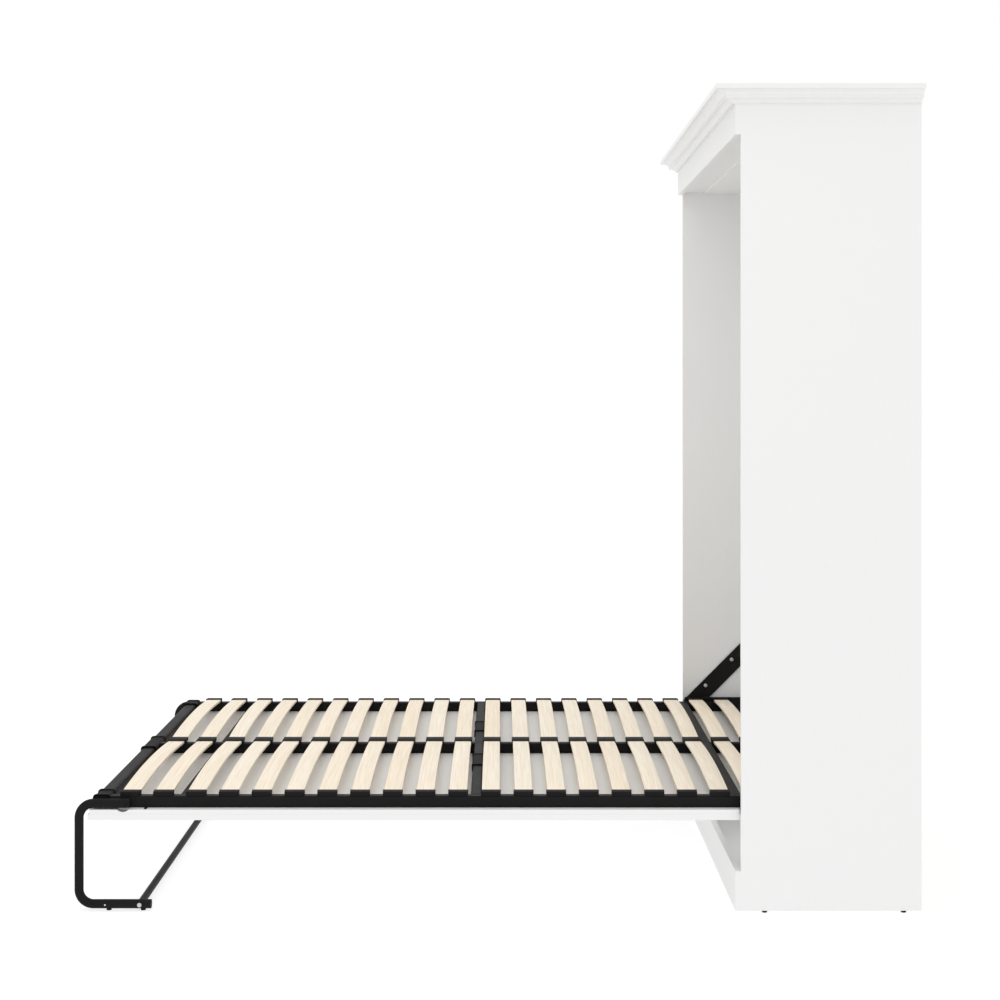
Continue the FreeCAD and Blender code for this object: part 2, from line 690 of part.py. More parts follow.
def cap_row(label, corners, slots):
    """A row of holders: an X-Z section padded along Y, with a slot for the slat end, repeated."""
    body = new_body(label)
    section = sketch(body, label + "_section", "XZ_Plane", "-(%s) - cap_wide" % CAP_FIRST)
    outline(section, corners)
    pad(body, section, "cap_wide")
    holes = sketch(body, label + "_slots", "XZ_Plane", "-(%s) - slat_wide - slat_clear" % SLAT_FIRST)
    for x in slots:
        z = ("slat_low", "slat_low + slat_thick + slat_clear")
        outline(holes, [(x[0], z[0]), (x[1], z[0]), (x[1], z[1]), (x[0], z[1])])
    pocket = body.newObject("PartDesign::Pocket", label + "_slot_cut")
    pocket.Profile = holes
    pocket.Reversed = True
    bind(pocket, "Length", "slat_wide + 2 * slat_clear")
    repeat(body)
    return body


caps_right = cap_row("slat_holders_right", [
    ("rail_in", "rail_top"), ("rail_out", "rail_top"), ("rail_out", "cap_top"), ("rail_in", "cap_top"),
], [("rail_in - overrun", "slat_out + slat_clear")])
caps_left = mirror("slat_holders_left", caps_right)
caps_middle = cap_row("slat_holders_centre", [
    ("-centre_half - cap_flange", "rail_top"), ("centre_half + cap_flange", "rail_top"),
    ("centre_half + cap_flange", "cap_top"), ("-centre_half - cap_flange", "cap_top"),
], [("slat_in - slat_clear", "centre_half + cap_flange + overrun"),
    ("-centre_half - cap_flange - overrun", "-slat_in + slat_clear")])

# Pivot plates on the rails: the pin goes through near the front, the spring's lower stud behind it.
plate_body = new_body("pivot_plate_right")
plate_plan = sketch(plate_body, "plate_plan", "YZ_Plane", "rail_out")
outline(plate_plan, [
    ("pivot_y - plate_front", "pivot_z - plate_drop"), ("arm_y + plate_margin", "pivot_z - plate_drop"),
    ("arm_y + plate_margin", "pivot_z + plate_rise"), ("pivot_y - plate_front", "pivot_z + plate_rise"),
])
circle(plate_plan, "pivot_y", "pivot_z", "pin_radius + pin_clear")
pad(plate_body, plate_plan, "plate_thick")
plate_left = mirror("pivot_plate_left", plate_body)
arm_stud = rod("spring_stud_right", "x", "bolt_head_radius", "plate_out",
               "spring_x - eye_thick / 2 - side_clear", ("arm_y", "arm_z"))
arm_stud_left = mirror("spring_stud_left", arm_stud)

# Folding leg: two bent tubes on pins at the rails, joined near the floor by a crossbar.
leg_body = new_body("leg_bend_right")
leg_path = sketch(leg_body, "leg_path", "YZ_Plane", "leg_x")
outline(leg_path, [
    ("leg_top_y", "leg_high_z"), ("leg_front_y + leg_bend", "leg_high_z", "leg_bend"),
    ("leg_front_y", "leg_high_z - leg_bend"), ("leg_front_y", "leg_low_z + leg_bend", "leg_bend"),
    ("leg_front_y + leg_bend", "leg_low_z"), ("leg_end_y", "leg_low_z"),
], closed=False)
leg_section = sketch(leg_body, "leg_section", "XZ_Plane", "-(leg_top_y)")
circle(leg_section, "leg_x", "leg_high_z", "leg_radius")
circle(leg_section, "leg_x", "leg_high_z", "leg_radius - tube_wall")
leg_pipe = leg_body.newObject("PartDesign::AdditivePipe", "leg_pipe")
leg_pipe.Profile = leg_section
leg_pipe.Spine = leg_path
leg_hole = rod("leg_hole", "x", "leg_pin_radius + pin_clear", "leg_x - 2 * leg_radius",
               "leg_x + 2 * leg_radius", LEG_PIVOT)
LEG_BOLT = ("crossbar_y", "leg_low_z")
leg_bolt_hole = rod("leg_bolt_hole", "x", "bolt_radius + pin_clear", "leg_x - 2 * leg_radius",
                    "leg_x + 2 * leg_radius", LEG_BOLT)
LEG_RIVET = ("foot_y + leg_rivet_in", "leg_low_z")
leg_rivet_hole = rod("leg_rivet_hole", "x", "leg_rivet_radius + pin_clear", "leg_x - 2 * leg_radius",
                     "leg_x + 2 * leg_radius", LEG_RIVET)
leg_tube = cut("leg_tube_right", leg_body, group("leg_holes", [leg_hole, leg_bolt_hole, leg_rivet_hole]))
leg_tube_left = mirror("leg_tube_left", leg_tube)
leg_pin = fuse("leg_pin_right", [
    rod("leg_pin_shaft", "x", "leg_pin_radius", "rail_out", "leg_x + leg_radius + side_clear", LEG_PIVOT),
    rod("leg_pin_washer", "x", "leg_pin_head_radius", "rail_out", "leg_x - leg_radius - side_clear", LEG_PIVOT),
    rod("leg_pin_head", "x", "leg_pin_head_radius", "leg_x + leg_radius + side_clear",
        "leg_x + leg_radius + side_clear + leg_pin_head", LEG_PIVOT),
])
leg_pin_left = mirror("leg_pin_left", leg_pin)
crossbar_blank = rod("crossbar_blank", "x", "crossbar_radius", "-(leg_x - leg_radius)", "leg_x - leg_radius",
                     LEG_BOLT)
crossbar_bore = rod("crossbar_bore", "x", "bolt_radius + pin_clear", "-leg_x", "leg_x", LEG_BOLT)
crossbar = cut("leg_crossbar", crossbar_blank, crossbar_bore)
leg_bolt = fuse("leg_bolt", [
    rod("leg_bolt_head", "x", "leg_bolt_head", "leg_x + leg_radius", "leg_x + leg_radius + leg_pin_head",
        LEG_BOLT),
    rod("leg_bolt_shank", "x", "bolt_radius", "leg_x - leg_radius - 2 * crossbar_radius", "leg_x + leg_radius",
        LEG_BOLT),
])
leg_rivet = rod("leg_rivet", "x", "leg_rivet_radius", "leg_x - leg_radius - leg_rivet_out",
                "leg_x + leg_radius + leg_rivet_out", LEG_RIVET)
leg_fixings = [leg_bolt, leg_rivet]
leg_bolts = group("leg_bolts", leg_fixings + [mirror(item.Label + "_other", item) for item in leg_fixings])


def plug(label, y, z):
    """A tube's end plug: a head behind the end at that Y, and a stub that fills the bore before it."""
    head = rod(label + "_head", "y", "leg_radius", y, "%s + plug_long" % y, ("leg_x", z))
    stub = rod(label + "_stub", "y", "leg_radius - tube_wall - pin_clear", "%s - plug_inside" % y, y,
               ("leg_x", z))
    return fuse(label, [head, stub])


plugs = [plug("upper_plug", "leg_top_y", "leg_high_z"), plug("lower_plug", "leg_end_y", "leg_low_z")]
leg_plugs = group("leg_plugs", plugs + [mirror(item.Label + "_other", item) for item in plugs])


def leg_glide(label, y):
    """A round foot under the leg's lower tube, hollowed to sit against it."""
    disc = rod(label + "_disc", "z", "leg_glide_radius", "0", "leg_low_z - leg_radius / 2", ("leg_x", y))
    bed = rod(label + "_bed", "y", "leg_radius + pin_clear", "%s - 2 * leg_glide_radius" % y,
              "%s + 2 * leg_glide_radius" % y, ("leg_x", "leg_low_z"))
    return cut(label, disc, bed)


leg_glide_pair = [leg_glide("front_glide", "foot_y + leg_glide_first"),
                  leg_glide("rear_glide", "crossbar_y + leg_glide_shift")]
leg_glides = group("leg_glides",
                   leg_glide_pair + [mirror(item.Label + "_other", item) for item in leg_glide_pair])

# Corner and middle sleeves of the foot rail.
foot_sleeve_right = sleeve("foot_sleeve_right", ("rail_out - sleeve_long", "rail_out"), FOOT_RAIL_Y, RAIL_Z)
foot_sleeve_middle = sleeve("foot_sleeve_middle", ("-middle_sleeve_long / 2", "middle_sleeve_long / 2"),
                            FOOT_RAIL_Y, RAIL_Z)
foot_sleeves = group("foot_sleeves", [foot_sleeve_right, foot_sleeve_middle,
                                      mirror("foot_sleeve_left", foot_sleeve_right)])

NODES = [
    side_right, side_left, fascia, base_board, top_panel, stretcher, floor_panel, back_lower, back_upper,
    wall_rail, glides, crown_front, crown_right, crown_left, bracket_body, bracket_left, bolts_right,
    bolts_left, pivot_pin, pivot_pin_left, anchor_stud, anchor_left, spring_tube, spring_tube_left,
    spring_rod, spring_rod_left, face_panel, carrier_panel, rail_right, rail_left, rail_middle, foot_rail,
    head_rail, foot_tie, middle_tie, head_tie, tie_sleeves, slat_body, slats_left, caps_right, caps_left,
    caps_middle, plate_body, plate_left, arm_stud, arm_stud_left, leg_tube, leg_tube_left, leg_pin,
    leg_pin_left, crossbar, leg_bolts, leg_plugs, leg_glides, foot_sleeves,
]
doc.recompute()
for thing in doc.Objects:
    if {"Invalid", "Error"} & set(thing.State):
        raise RuntimeError("%s did not compute: %s" % (thing.Label, thing.State))
for node in NODES:
    if node.Shape.isNull() or not node.Shape.isValid() or not node.Shape.Solids:
        raise RuntimeError("%s has no valid solid" % node.Label)
os.makedirs("parts", exist_ok=True)
for node in NODES:
    node.Shape.exportStep("parts/%s.step" % node.Label)
    print("%-24s %3d solids %12.0f mm3" % (node.Label, len(node.Shape.Solids), node.Shape.Volume))
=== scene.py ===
"""Wall bed, lowered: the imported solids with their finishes, and the moulded and turned pieces
in detail."""
import bpy
import math
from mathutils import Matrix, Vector


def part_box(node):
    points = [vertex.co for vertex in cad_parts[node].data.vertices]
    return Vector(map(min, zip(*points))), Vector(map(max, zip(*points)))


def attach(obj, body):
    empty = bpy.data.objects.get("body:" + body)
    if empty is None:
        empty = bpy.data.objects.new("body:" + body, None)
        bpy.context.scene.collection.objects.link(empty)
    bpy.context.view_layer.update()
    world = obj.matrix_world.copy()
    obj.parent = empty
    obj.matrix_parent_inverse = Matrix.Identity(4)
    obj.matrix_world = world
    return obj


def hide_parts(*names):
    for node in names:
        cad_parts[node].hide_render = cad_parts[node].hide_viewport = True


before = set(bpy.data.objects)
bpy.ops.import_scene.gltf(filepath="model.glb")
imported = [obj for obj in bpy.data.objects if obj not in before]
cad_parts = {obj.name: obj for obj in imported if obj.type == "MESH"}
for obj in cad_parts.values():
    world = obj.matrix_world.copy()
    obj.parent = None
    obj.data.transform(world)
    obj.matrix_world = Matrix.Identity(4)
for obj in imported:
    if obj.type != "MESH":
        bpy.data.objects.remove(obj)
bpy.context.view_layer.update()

# Cabinet boards: sides, fascia, base board, top, floor and rails of 16 mm chipboard faced with
# white melamine paper, cut square, edged with matching band and joined by cam fittings.


def linear(text):
    """An sRGB hex colour as linear RGBA."""
    parts = [int(text[i:i + 2], 16) / 255 for i in (0, 2, 4)]
    return [part / 12.92 if part <= 0.04045 else ((part + 0.055) / 1.055) ** 2.4
            for part in parts] + [1.0]


def add_node(tree, kind, links, **settings):
    """A node with its settings, whose inputs get values or another node's output."""
    item = tree.nodes.new(kind)
    for key, value in settings.items():
        setattr(item, key, value)
    for key, value in links.items():
        if isinstance(value, bpy.types.NodeSocket):
            tree.links.new(value, item.inputs[key])
        else:
            item.inputs[key].default_value = value
    return item


def start_finish(name):
    """A new material with its node tree, its shader and the piece's own coordinates."""
    finish = bpy.data.materials.new(name)
    finish.use_nodes = True
    tree = finish.node_tree
    place = add_node(tree, "ShaderNodeTexCoord", {}).outputs["Object"]
    return finish, tree, tree.nodes["Principled BSDF"], place


def dress(finish, *names):
    """Gives CAD nodes a finish."""
    for name in names:
        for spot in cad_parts[name].material_slots:
            spot.material = finish


# Melamine paper pressed with a fine pore: nearly plain white, satin, with faint streaks along the
# board. A real pore is 0.3 mm wide, and it is drawn 3 mm wide and 150 mm long so that it shows.
# The shine drifts in clouds 400 mm wide.
PORE_WIDE = 0.003
PORE_LONG = 0.150
CLOUD_WIDE = 0.4


def melamine(name, run):
    """White melamine with its pores along X, Y or Z."""
    finish, tree, shader, place = start_finish(name)
    scale = [1 / PORE_LONG if axis == run else 1 / PORE_WIDE for axis in "xyz"]
    stretch = add_node(tree, "ShaderNodeMapping", {"Vector": place, "Scale": scale})
    pores = add_node(tree, "ShaderNodeTexNoise", {
        "Vector": stretch.outputs["Vector"], "Scale": 1.0, "Detail": 3.0, "Roughness": 0.6})
    clouds = add_node(tree, "ShaderNodeTexNoise", {
        "Vector": place, "Scale": 1 / CLOUD_WIDE, "Detail": 1.0})
    tone = add_node(tree, "ShaderNodeValToRGB", {"Fac": pores.outputs["Fac"]})
    tone.color_ramp.elements[0].color = linear("e9e9e8")
    tone.color_ramp.elements[1].color = linear("ececec")
    tree.links.new(tone.outputs["Color"], shader.inputs["Base Color"])
    gloss = add_node(tree, "ShaderNodeMapRange", {
        "Value": clouds.outputs["Fac"], "To Min": 0.40, "To Max": 0.52})
    tree.links.new(gloss.outputs["Result"], shader.inputs["Roughness"])
    dent = add_node(tree, "ShaderNodeBump", {
        "Height": pores.outputs["Fac"], "Strength": 0.08, "Distance": 0.0003})
    tree.links.new(dent.outputs["Normal"], shader.inputs["Normal"])
    shader.inputs["IOR"].default_value = 1.5
    return finish


dress(melamine("white_melamine_upright", "z"), "side_panel_right", "side_panel_left")
dress(melamine("white_melamine_across", "x"), "fascia", "base_board", "top_panel",
      "top_stretcher", "floor_panel", "wall_rail")

# Back boards: two boards of 12 mm fibreboard, one over the other between the sides, white towards
# the room and bare towards the wall. The bare side is matt and mottled in pale brown flecks 6 mm
# wide, and the white side is smooth and plain.
FIBRE_WIDE = 0.006
WALL_FACING = 0.5
back_finish, tree, shader, place = start_finish("white_board_bare_back")
facing = add_node(tree, "ShaderNodeTexCoord", {}).outputs["Normal"]
wallwards = add_node(tree, "ShaderNodeSeparateXYZ", {"Vector": facing})
bare = add_node(tree, "ShaderNodeMath", {0: wallwards.outputs["Y"], 1: WALL_FACING},
                operation="GREATER_THAN")
fibres = add_node(tree, "ShaderNodeTexNoise", {
    "Vector": place, "Scale": 1 / FIBRE_WIDE, "Detail": 4.0, "Roughness": 0.7})
fibre_tone = add_node(tree, "ShaderNodeValToRGB", {"Fac": fibres.outputs["Fac"]})
fibre_tone.color_ramp.elements[0].color = linear("b3a48f")
fibre_tone.color_ramp.elements[1].color = linear("cfc3b1")
two_sided = add_node(tree, "ShaderNodeMix", {
    "Factor": bare.outputs["Value"], "A": linear("efefee"),
    "B": fibre_tone.outputs["Color"]}, data_type="RGBA")
tree.links.new(two_sided.outputs["Result"], shader.inputs["Base Color"])
matt = add_node(tree, "ShaderNodeMapRange", {
    "Value": bare.outputs["Value"], "To Min": 0.45, "To Max": 0.85})
tree.links.new(matt.outputs["Result"], shader.inputs["Roughness"])
dress(back_finish, "back_panel_lower", "back_panel_upper")

# Cover caps: thin moulded discs with rounded rims, pressed over the cam fittings that draw the
# floor and the top to the sides. White polypropylene, matt, with a fine grit that is drawn 1.2 mm
# wide so that it shows.
CAP_RADIUS = 0.009
CAP_HIGH = 0.0016
CAP_RIM = 0.0007
CAP_IN = 0.034
CAP_FROM_FRONT = 0.040
CAP_FROM_BACK = 0.090
CAP_GRIT = 0.0012

# Edges that turn more than this are rounded, and stay crisp in the shading.
SHARP = math.radians(40)


def only(piece):
    """Selects one piece alone and makes it the active one."""
    bpy.ops.object.select_all(action="DESELECT")
    piece.select_set(True)
    bpy.context.view_layer.objects.active = piece


def disc(name, radius, depth, middle, turn=(0, 0, 0), sides=24):
    """A cylinder to start a turned piece from, with its place in its mesh."""
    bpy.ops.object.select_all(action="DESELECT")
    bpy.ops.mesh.primitive_cylinder_add(vertices=sides, radius=radius, depth=depth,
                                        location=middle, rotation=turn)
    piece = bpy.context.active_object
    piece.name = name
    bpy.ops.object.transform_apply(location=True, rotation=True, scale=True)
    return piece


def round_off(piece, width, steps):
    """Rounds the sharp edges of a piece and shades it smooth between them."""
    only(piece)
    edge = piece.modifiers.new("rounding", "BEVEL")
    edge.width = width
    edge.segments = steps
    edge.limit_method = "ANGLE"
    edge.angle_limit = SHARP
    bpy.ops.object.modifier_apply(modifier=edge.name)
    bpy.ops.object.shade_smooth_by_angle(angle=SHARP)


def copies(piece, moves):
    """Copies of a piece at the given steps from it, joined with it."""
    made = [piece]
    for move in moves:
        only(piece)
        bpy.ops.object.duplicate(linked=False)
        bpy.ops.transform.translate(value=move)
        bpy.ops.object.transform_apply(location=True, rotation=True, scale=True)
        made.append(bpy.context.active_object)
    only(piece)
    for twin in made:
        twin.select_set(True)
    bpy.ops.object.join()


def both_sides(piece):
    """Adds the same piece on the other side of the bed."""
    only(piece)
    twin = piece.modifiers.new("other_side", "MIRROR")
    twin.use_mirror_merge = False
    bpy.ops.object.modifier_apply(modifier=twin.name)
    bpy.ops.object.mode_set(mode="EDIT")
    bpy.ops.mesh.select_all(action="SELECT")
    bpy.ops.mesh.normals_make_consistent(inside=False)
    bpy.ops.object.mode_set(mode="OBJECT")


def wear(piece, finish, body):
    """Gives a new piece its finish and its body."""
    piece.data.materials.clear()
    piece.data.materials.append(finish)
    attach(piece, body)


side_low, side_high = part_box("side_panel_right")
floor_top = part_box("floor_panel")[1].z
top_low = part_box("top_panel")[0]
cap_front = top_low.y + CAP_FROM_FRONT
cover_caps = disc("cover_caps", CAP_RADIUS, CAP_HIGH,
                  (side_low.x - CAP_IN, cap_front, floor_top + CAP_HIGH / 2))
round_off(cover_caps, CAP_RIM, 2)
cap_run = side_high.y - CAP_FROM_BACK - cap_front
cap_rise = top_low.z - floor_top - CAP_HIGH
copies(cover_caps, [(0, cap_run, 0), (0, 0, cap_rise), (0, cap_run, cap_rise)])
both_sides(cover_caps)
cap_finish, tree, shader, place = start_finish("white_polypropylene")
grit = add_node(tree, "ShaderNodeTexNoise", {
    "Vector": place, "Scale": 1 / CAP_GRIT, "Detail": 2.0})
grit_bump = add_node(tree, "ShaderNodeBump", {
    "Height": grit.outputs["Fac"], "Strength": 0.2, "Distance": 0.0002})
tree.links.new(grit_bump.outputs["Normal"], shader.inputs["Normal"])
shader.inputs["Base Color"].default_value = linear("eeeeec")
shader.inputs["Roughness"].default_value = 0.55
wear(cover_caps, cap_finish, "cabinet")

# Crown: a stepped and coved moulding of fibreboard wrapped in white foil, run round the front and
# sides of the top and mitred at the corners. Foil is smoother than the boards, with a soft shine
# that ripples every 30 mm.
FOIL_RIPPLE = 0.030
foil, tree, shader, place = start_finish("white_foil_on_moulding")
ripple = add_node(tree, "ShaderNodeTexNoise", {
    "Vector": place, "Scale": 1 / FOIL_RIPPLE, "Detail": 2.0})
foil_tone = add_node(tree, "ShaderNodeValToRGB", {"Fac": ripple.outputs["Fac"]})
foil_tone.color_ramp.elements[0].color = linear("e6e6e5")
foil_tone.color_ramp.elements[1].color = linear("ebebea")
tree.links.new(foil_tone.outputs["Color"], shader.inputs["Base Color"])
foil_gloss = add_node(tree, "ShaderNodeMapRange", {
    "Value": ripple.outputs["Fac"], "To Min": 0.34, "To Max": 0.44})
tree.links.new(foil_gloss.outputs["Result"], shader.inputs["Roughness"])
dress(foil, "crown_front", "crown_right", "crown_left")

# Levelling glides: black nylon feet screwed into the lower edge of each side, broad under the board
# and tapered to the floor, with rounded rims.
GLIDE_CAD_RADIUS = 0.0075
GLIDE_RADIUS = 0.0092
GLIDE_TAPER = 0.68
GLIDE_RIM = 0.0014

# A point this near to a face's plane lies in the face.
NEAR = 1e-5


def pick(piece, kind, test):
    """Edit mode on a piece, with the points, edges or faces selected whose points pass a test."""
    only(piece)
    bpy.ops.object.mode_set(mode="EDIT")
    bpy.ops.mesh.select_mode(type=kind)
    bpy.ops.mesh.select_all(action="DESELECT")
    bpy.ops.object.mode_set(mode="OBJECT")
    points = piece.data.vertices
    for part in {"VERT": points, "EDGE": piece.data.edges, "FACE": piece.data.polygons}[kind]:
        ends = [part.index] if kind == "VERT" else part.vertices
        part.select = all(test(points[end].co) for end in ends)
    bpy.ops.object.mode_set(mode="EDIT")


glide_low, glide_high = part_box("levelling_glides")
glide_tall = glide_high.z - glide_low.z
glide_x = glide_high.x - GLIDE_CAD_RADIUS
glide_y = glide_low.y + GLIDE_CAD_RADIUS
levelling_glides = disc("levelling_glides_turned", GLIDE_RADIUS, glide_tall,
                        (glide_x, glide_y, glide_tall / 2))
pick(levelling_glides, "FACE", lambda point: point.z < glide_low.z + NEAR)
bpy.ops.transform.resize(value=(GLIDE_TAPER, GLIDE_TAPER, 1), center_override=(glide_x, glide_y, 0))
bpy.ops.object.mode_set(mode="OBJECT")
round_off(levelling_glides, GLIDE_RIM, 3)
copies(levelling_glides, [(0, glide_high.y - glide_low.y - 2 * GLIDE_CAD_RADIUS, 0)])
both_sides(levelling_glides)

# Moulded black nylon: near black, matt, with the fine spark texture of the mould. The grit of a
# real mould is 0.05 mm, and it is drawn at 0.8 mm so that it breaks up the highlights. The tone
# drifts every 60 mm, as the melt flowed.
NYLON_GRIT = 0.0008
NYLON_FLOW = 0.06
nylon, tree, shader, place = start_finish("black_moulded_nylon")
spark = add_node(tree, "ShaderNodeTexNoise", {
    "Vector": place, "Scale": 1 / NYLON_GRIT, "Detail": 3.0, "Roughness": 0.6})
flow = add_node(tree, "ShaderNodeTexNoise", {
    "Vector": place, "Scale": 1 / NYLON_FLOW, "Detail": 2.0})
nylon_tone = add_node(tree, "ShaderNodeValToRGB", {"Fac": flow.outputs["Fac"]})
nylon_tone.color_ramp.elements[0].color = linear("1b1a1a")
nylon_tone.color_ramp.elements[1].color = linear("201e1e")
tree.links.new(nylon_tone.outputs["Color"], shader.inputs["Base Color"])
nylon_gloss = add_node(tree, "ShaderNodeMapRange", {
    "Value": spark.outputs["Fac"], "To Min": 0.48, "To Max": 0.66})
tree.links.new(nylon_gloss.outputs["Result"], shader.inputs["Roughness"])
spark_bump = add_node(tree, "ShaderNodeBump", {
    "Height": spark.outputs["Fac"], "Strength": 0.12, "Distance": 0.0002})
tree.links.new(spark_bump.outputs["Normal"], shader.inputs["Normal"])
shader.inputs["IOR"].default_value = 1.53
shader.inputs["Specular IOR Level"].default_value = 0.05
wear(levelling_glides, nylon, "cabinet")
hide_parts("levelling_glides")

# Lift brackets: flat steel strips, powder coated black and bolted to the insides of the sides at
# 45 degrees. Powder coat flows to a faint orange peel, about 2 mm from crest to crest, and its
# shade and shine drift every 80 mm.
POWDER_PEEL = 0.002
POWDER_DRIFT = 0.08
powder, tree, shader, place = start_finish("black_powder_coat")
peel = add_node(tree, "ShaderNodeTexNoise", {
    "Vector": place, "Scale": 1 / POWDER_PEEL, "Detail": 2.0, "Roughness": 0.45})
sheen = add_node(tree, "ShaderNodeTexNoise", {
    "Vector": place, "Scale": 1 / POWDER_DRIFT, "Detail": 3.0})
powder_tone = add_node(tree, "ShaderNodeValToRGB", {"Fac": sheen.outputs["Fac"]})
powder_tone.color_ramp.elements[0].color = linear("1d1c1c")
powder_tone.color_ramp.elements[1].color = linear("232222")
tree.links.new(powder_tone.outputs["Color"], shader.inputs["Base Color"])
powder_gloss = add_node(tree, "ShaderNodeMapRange", {
    "Value": sheen.outputs["Fac"], "To Min": 0.36, "To Max": 0.50})
tree.links.new(powder_gloss.outputs["Result"], shader.inputs["Roughness"])
peel_bump = add_node(tree, "ShaderNodeBump", {
    "Height": peel.outputs["Fac"], "Strength": 0.18, "Distance": 0.0003})
tree.links.new(peel_bump.outputs["Normal"], shader.inputs["Normal"])
shader.inputs["IOR"].default_value = 1.5
shader.inputs["Specular IOR Level"].default_value = 0.04
dress(powder, "lift_bracket_right", "lift_bracket_left")

# Bracket bolts: zinc-plated button heads with a socket, screwed through the strip into inserts in
# the side. Zinc is a bluish satin metal with a faint crystal mottle, 3 mm wide.
HEAD_RADIUS = 0.007
HEAD_HIGH = 0.004
HEAD_ROUND = 0.0026
HEAD_SIDES = 18
SOCKET_RADIUS = 0.0026
SOCKET_DEEP = 0.0022
ZINC_MOTTLE = 0.003
bolt_low, bolt_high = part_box("bracket_bolts_right")
bolt_step = (bolt_high.y - bolt_low.y - 2 * HEAD_RADIUS) / 2
bolt_middle = (bolt_low.x + HEAD_HIGH / 2, bolt_low.y + HEAD_RADIUS, bolt_low.z + HEAD_RADIUS)
bracket_bolts = disc("bracket_bolts", HEAD_RADIUS, HEAD_HIGH, bolt_middle,
                     turn=(0, math.radians(90), 0), sides=HEAD_SIDES)
pick(bracket_bolts, "FACE", lambda point: point.x < bolt_low.x + NEAR)
bpy.ops.mesh.bevel(offset=HEAD_ROUND, segments=4, affect="EDGES")
bpy.ops.object.mode_set(mode="OBJECT")
pick(bracket_bolts, "FACE", lambda point: point.x < bolt_low.x + NEAR)
bpy.ops.mesh.inset(thickness=HEAD_RADIUS - HEAD_ROUND - SOCKET_RADIUS)
bpy.ops.mesh.extrude_region_move(TRANSFORM_OT_translate={"value": (SOCKET_DEEP, 0, 0)})
bpy.ops.object.mode_set(mode="OBJECT")
only(bracket_bolts)
bpy.ops.object.shade_smooth_by_angle(angle=SHARP)
copies(bracket_bolts, [(0, bolt_step, bolt_step), (0, 2 * bolt_step, 2 * bolt_step)])
both_sides(bracket_bolts)
zinc, tree, shader, place = start_finish("zinc_plate_on_steel")
mottle = add_node(tree, "ShaderNodeTexNoise", {
    "Vector": place, "Scale": 1 / ZINC_MOTTLE, "Detail": 3.0})
zinc_tone = add_node(tree, "ShaderNodeValToRGB", {"Fac": mottle.outputs["Fac"]})
zinc_tone.color_ramp.elements[0].color = linear("b4b7ba")
zinc_tone.color_ramp.elements[1].color = linear("d2d5d8")
tree.links.new(zinc_tone.outputs["Color"], shader.inputs["Base Color"])
zinc_gloss = add_node(tree, "ShaderNodeMapRange", {
    "Value": mottle.outputs["Fac"], "To Min": 0.26, "To Max": 0.42})
tree.links.new(zinc_gloss.outputs["Result"], shader.inputs["Roughness"])
shader.inputs["Metallic"].default_value = 1.0
wear(bracket_bolts, zinc, "cabinet")
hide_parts("bracket_bolts_right", "bracket_bolts_left")

# Pivot pins: turned steel pins with a collar, zinc plated as the bolts are and fixed in the
# cabinet, on which the bed turns.
dress(zinc, "pivot_pin_right", "pivot_pin_left")

# Gas springs: black tubes and the chromed rods that slide in them, hung between zinc-plated studs
# on the cabinet and on the bed. Hard chrome on ground steel is nearly a mirror, and its polish is
# a little uneven every 2 mm.
CHROME_POLISH = 0.002
chrome, tree, shader, place = start_finish("hard_chrome")
polish = add_node(tree, "ShaderNodeTexNoise", {
    "Vector": place, "Scale": 1 / CHROME_POLISH, "Detail": 2.0})
chrome_gloss = add_node(tree, "ShaderNodeMapRange", {
    "Value": polish.outputs["Fac"], "To Min": 0.08, "To Max": 0.16})
tree.links.new(chrome_gloss.outputs["Result"], shader.inputs["Roughness"])
shader.inputs["Base Color"].default_value = linear("d9dbdd")
shader.inputs["Metallic"].default_value = 1.0
dress(chrome, "spring_rod_right", "spring_rod_left")
dress(powder, "spring_tube_right", "spring_tube_left")
dress(zinc, "spring_anchor_right", "spring_anchor_left", "spring_stud_right", "spring_stud_left")

# Bed panel: white melamine board like the cabinet's, in one piece, which closes the front of the
# cabinet when the bed is up, with a thinner carrier board on it. Their pores run from foot to head.
dress(melamine("white_melamine_lengthwise", "y"), "face_panel", "carrier_panel")

# Steel frame: rectangular tubes welded together, powder coated black, with pivot plates on the long
# rails. It lies on the carrier board, which it is screwed to.
dress(powder, "side_rail_right", "side_rail_left", "centre_rail", "foot_rail", "head_rail",
      "foot_tie", "middle_tie", "head_tie", "pivot_plate_right", "pivot_plate_left")

# Rail plugs: black moulded stoppers pushed into the open ends of the foot and head rails, with a
# dished face.
PLUG_THICK = 0.004
PLUG_INSET = 0.0015
PLUG_SUNK = 0.0006
PLUG_RIM = 0.004
PLUG_DISH = 0.001
PLUG_ROUND = 0.0006


def block(name, low, high):
    """A cube stretched between two corners, with its place in its mesh."""
    bpy.ops.object.select_all(action="DESELECT")
    middle = [(a + b) / 2 for a, b in zip(low, high)]
    size = [b - a for a, b in zip(low, high)]
    bpy.ops.mesh.primitive_cube_add(size=1, location=middle, scale=size)
    piece = bpy.context.active_object
    piece.name = name
    bpy.ops.object.transform_apply(location=True, rotation=True, scale=True)
    return piece


for rail in ("foot_rail", "head_rail"):
    low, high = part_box(rail)
    plug_end = high.x - PLUG_SUNK
    plug = block(rail + "_plugs",
                 (plug_end - PLUG_THICK, low.y + PLUG_INSET, low.z + PLUG_INSET),
                 (plug_end, high.y - PLUG_INSET, high.z - PLUG_INSET))
    pick(plug, "FACE", lambda point: point.x > plug_end - NEAR)
    bpy.ops.mesh.inset(thickness=PLUG_RIM)
    bpy.ops.mesh.extrude_region_move(TRANSFORM_OT_translate={"value": (-PLUG_DISH, 0, 0)})
    bpy.ops.object.mode_set(mode="OBJECT")
    round_off(plug, PLUG_ROUND, 2)
    both_sides(plug)
    wear(plug, nylon, "bed")

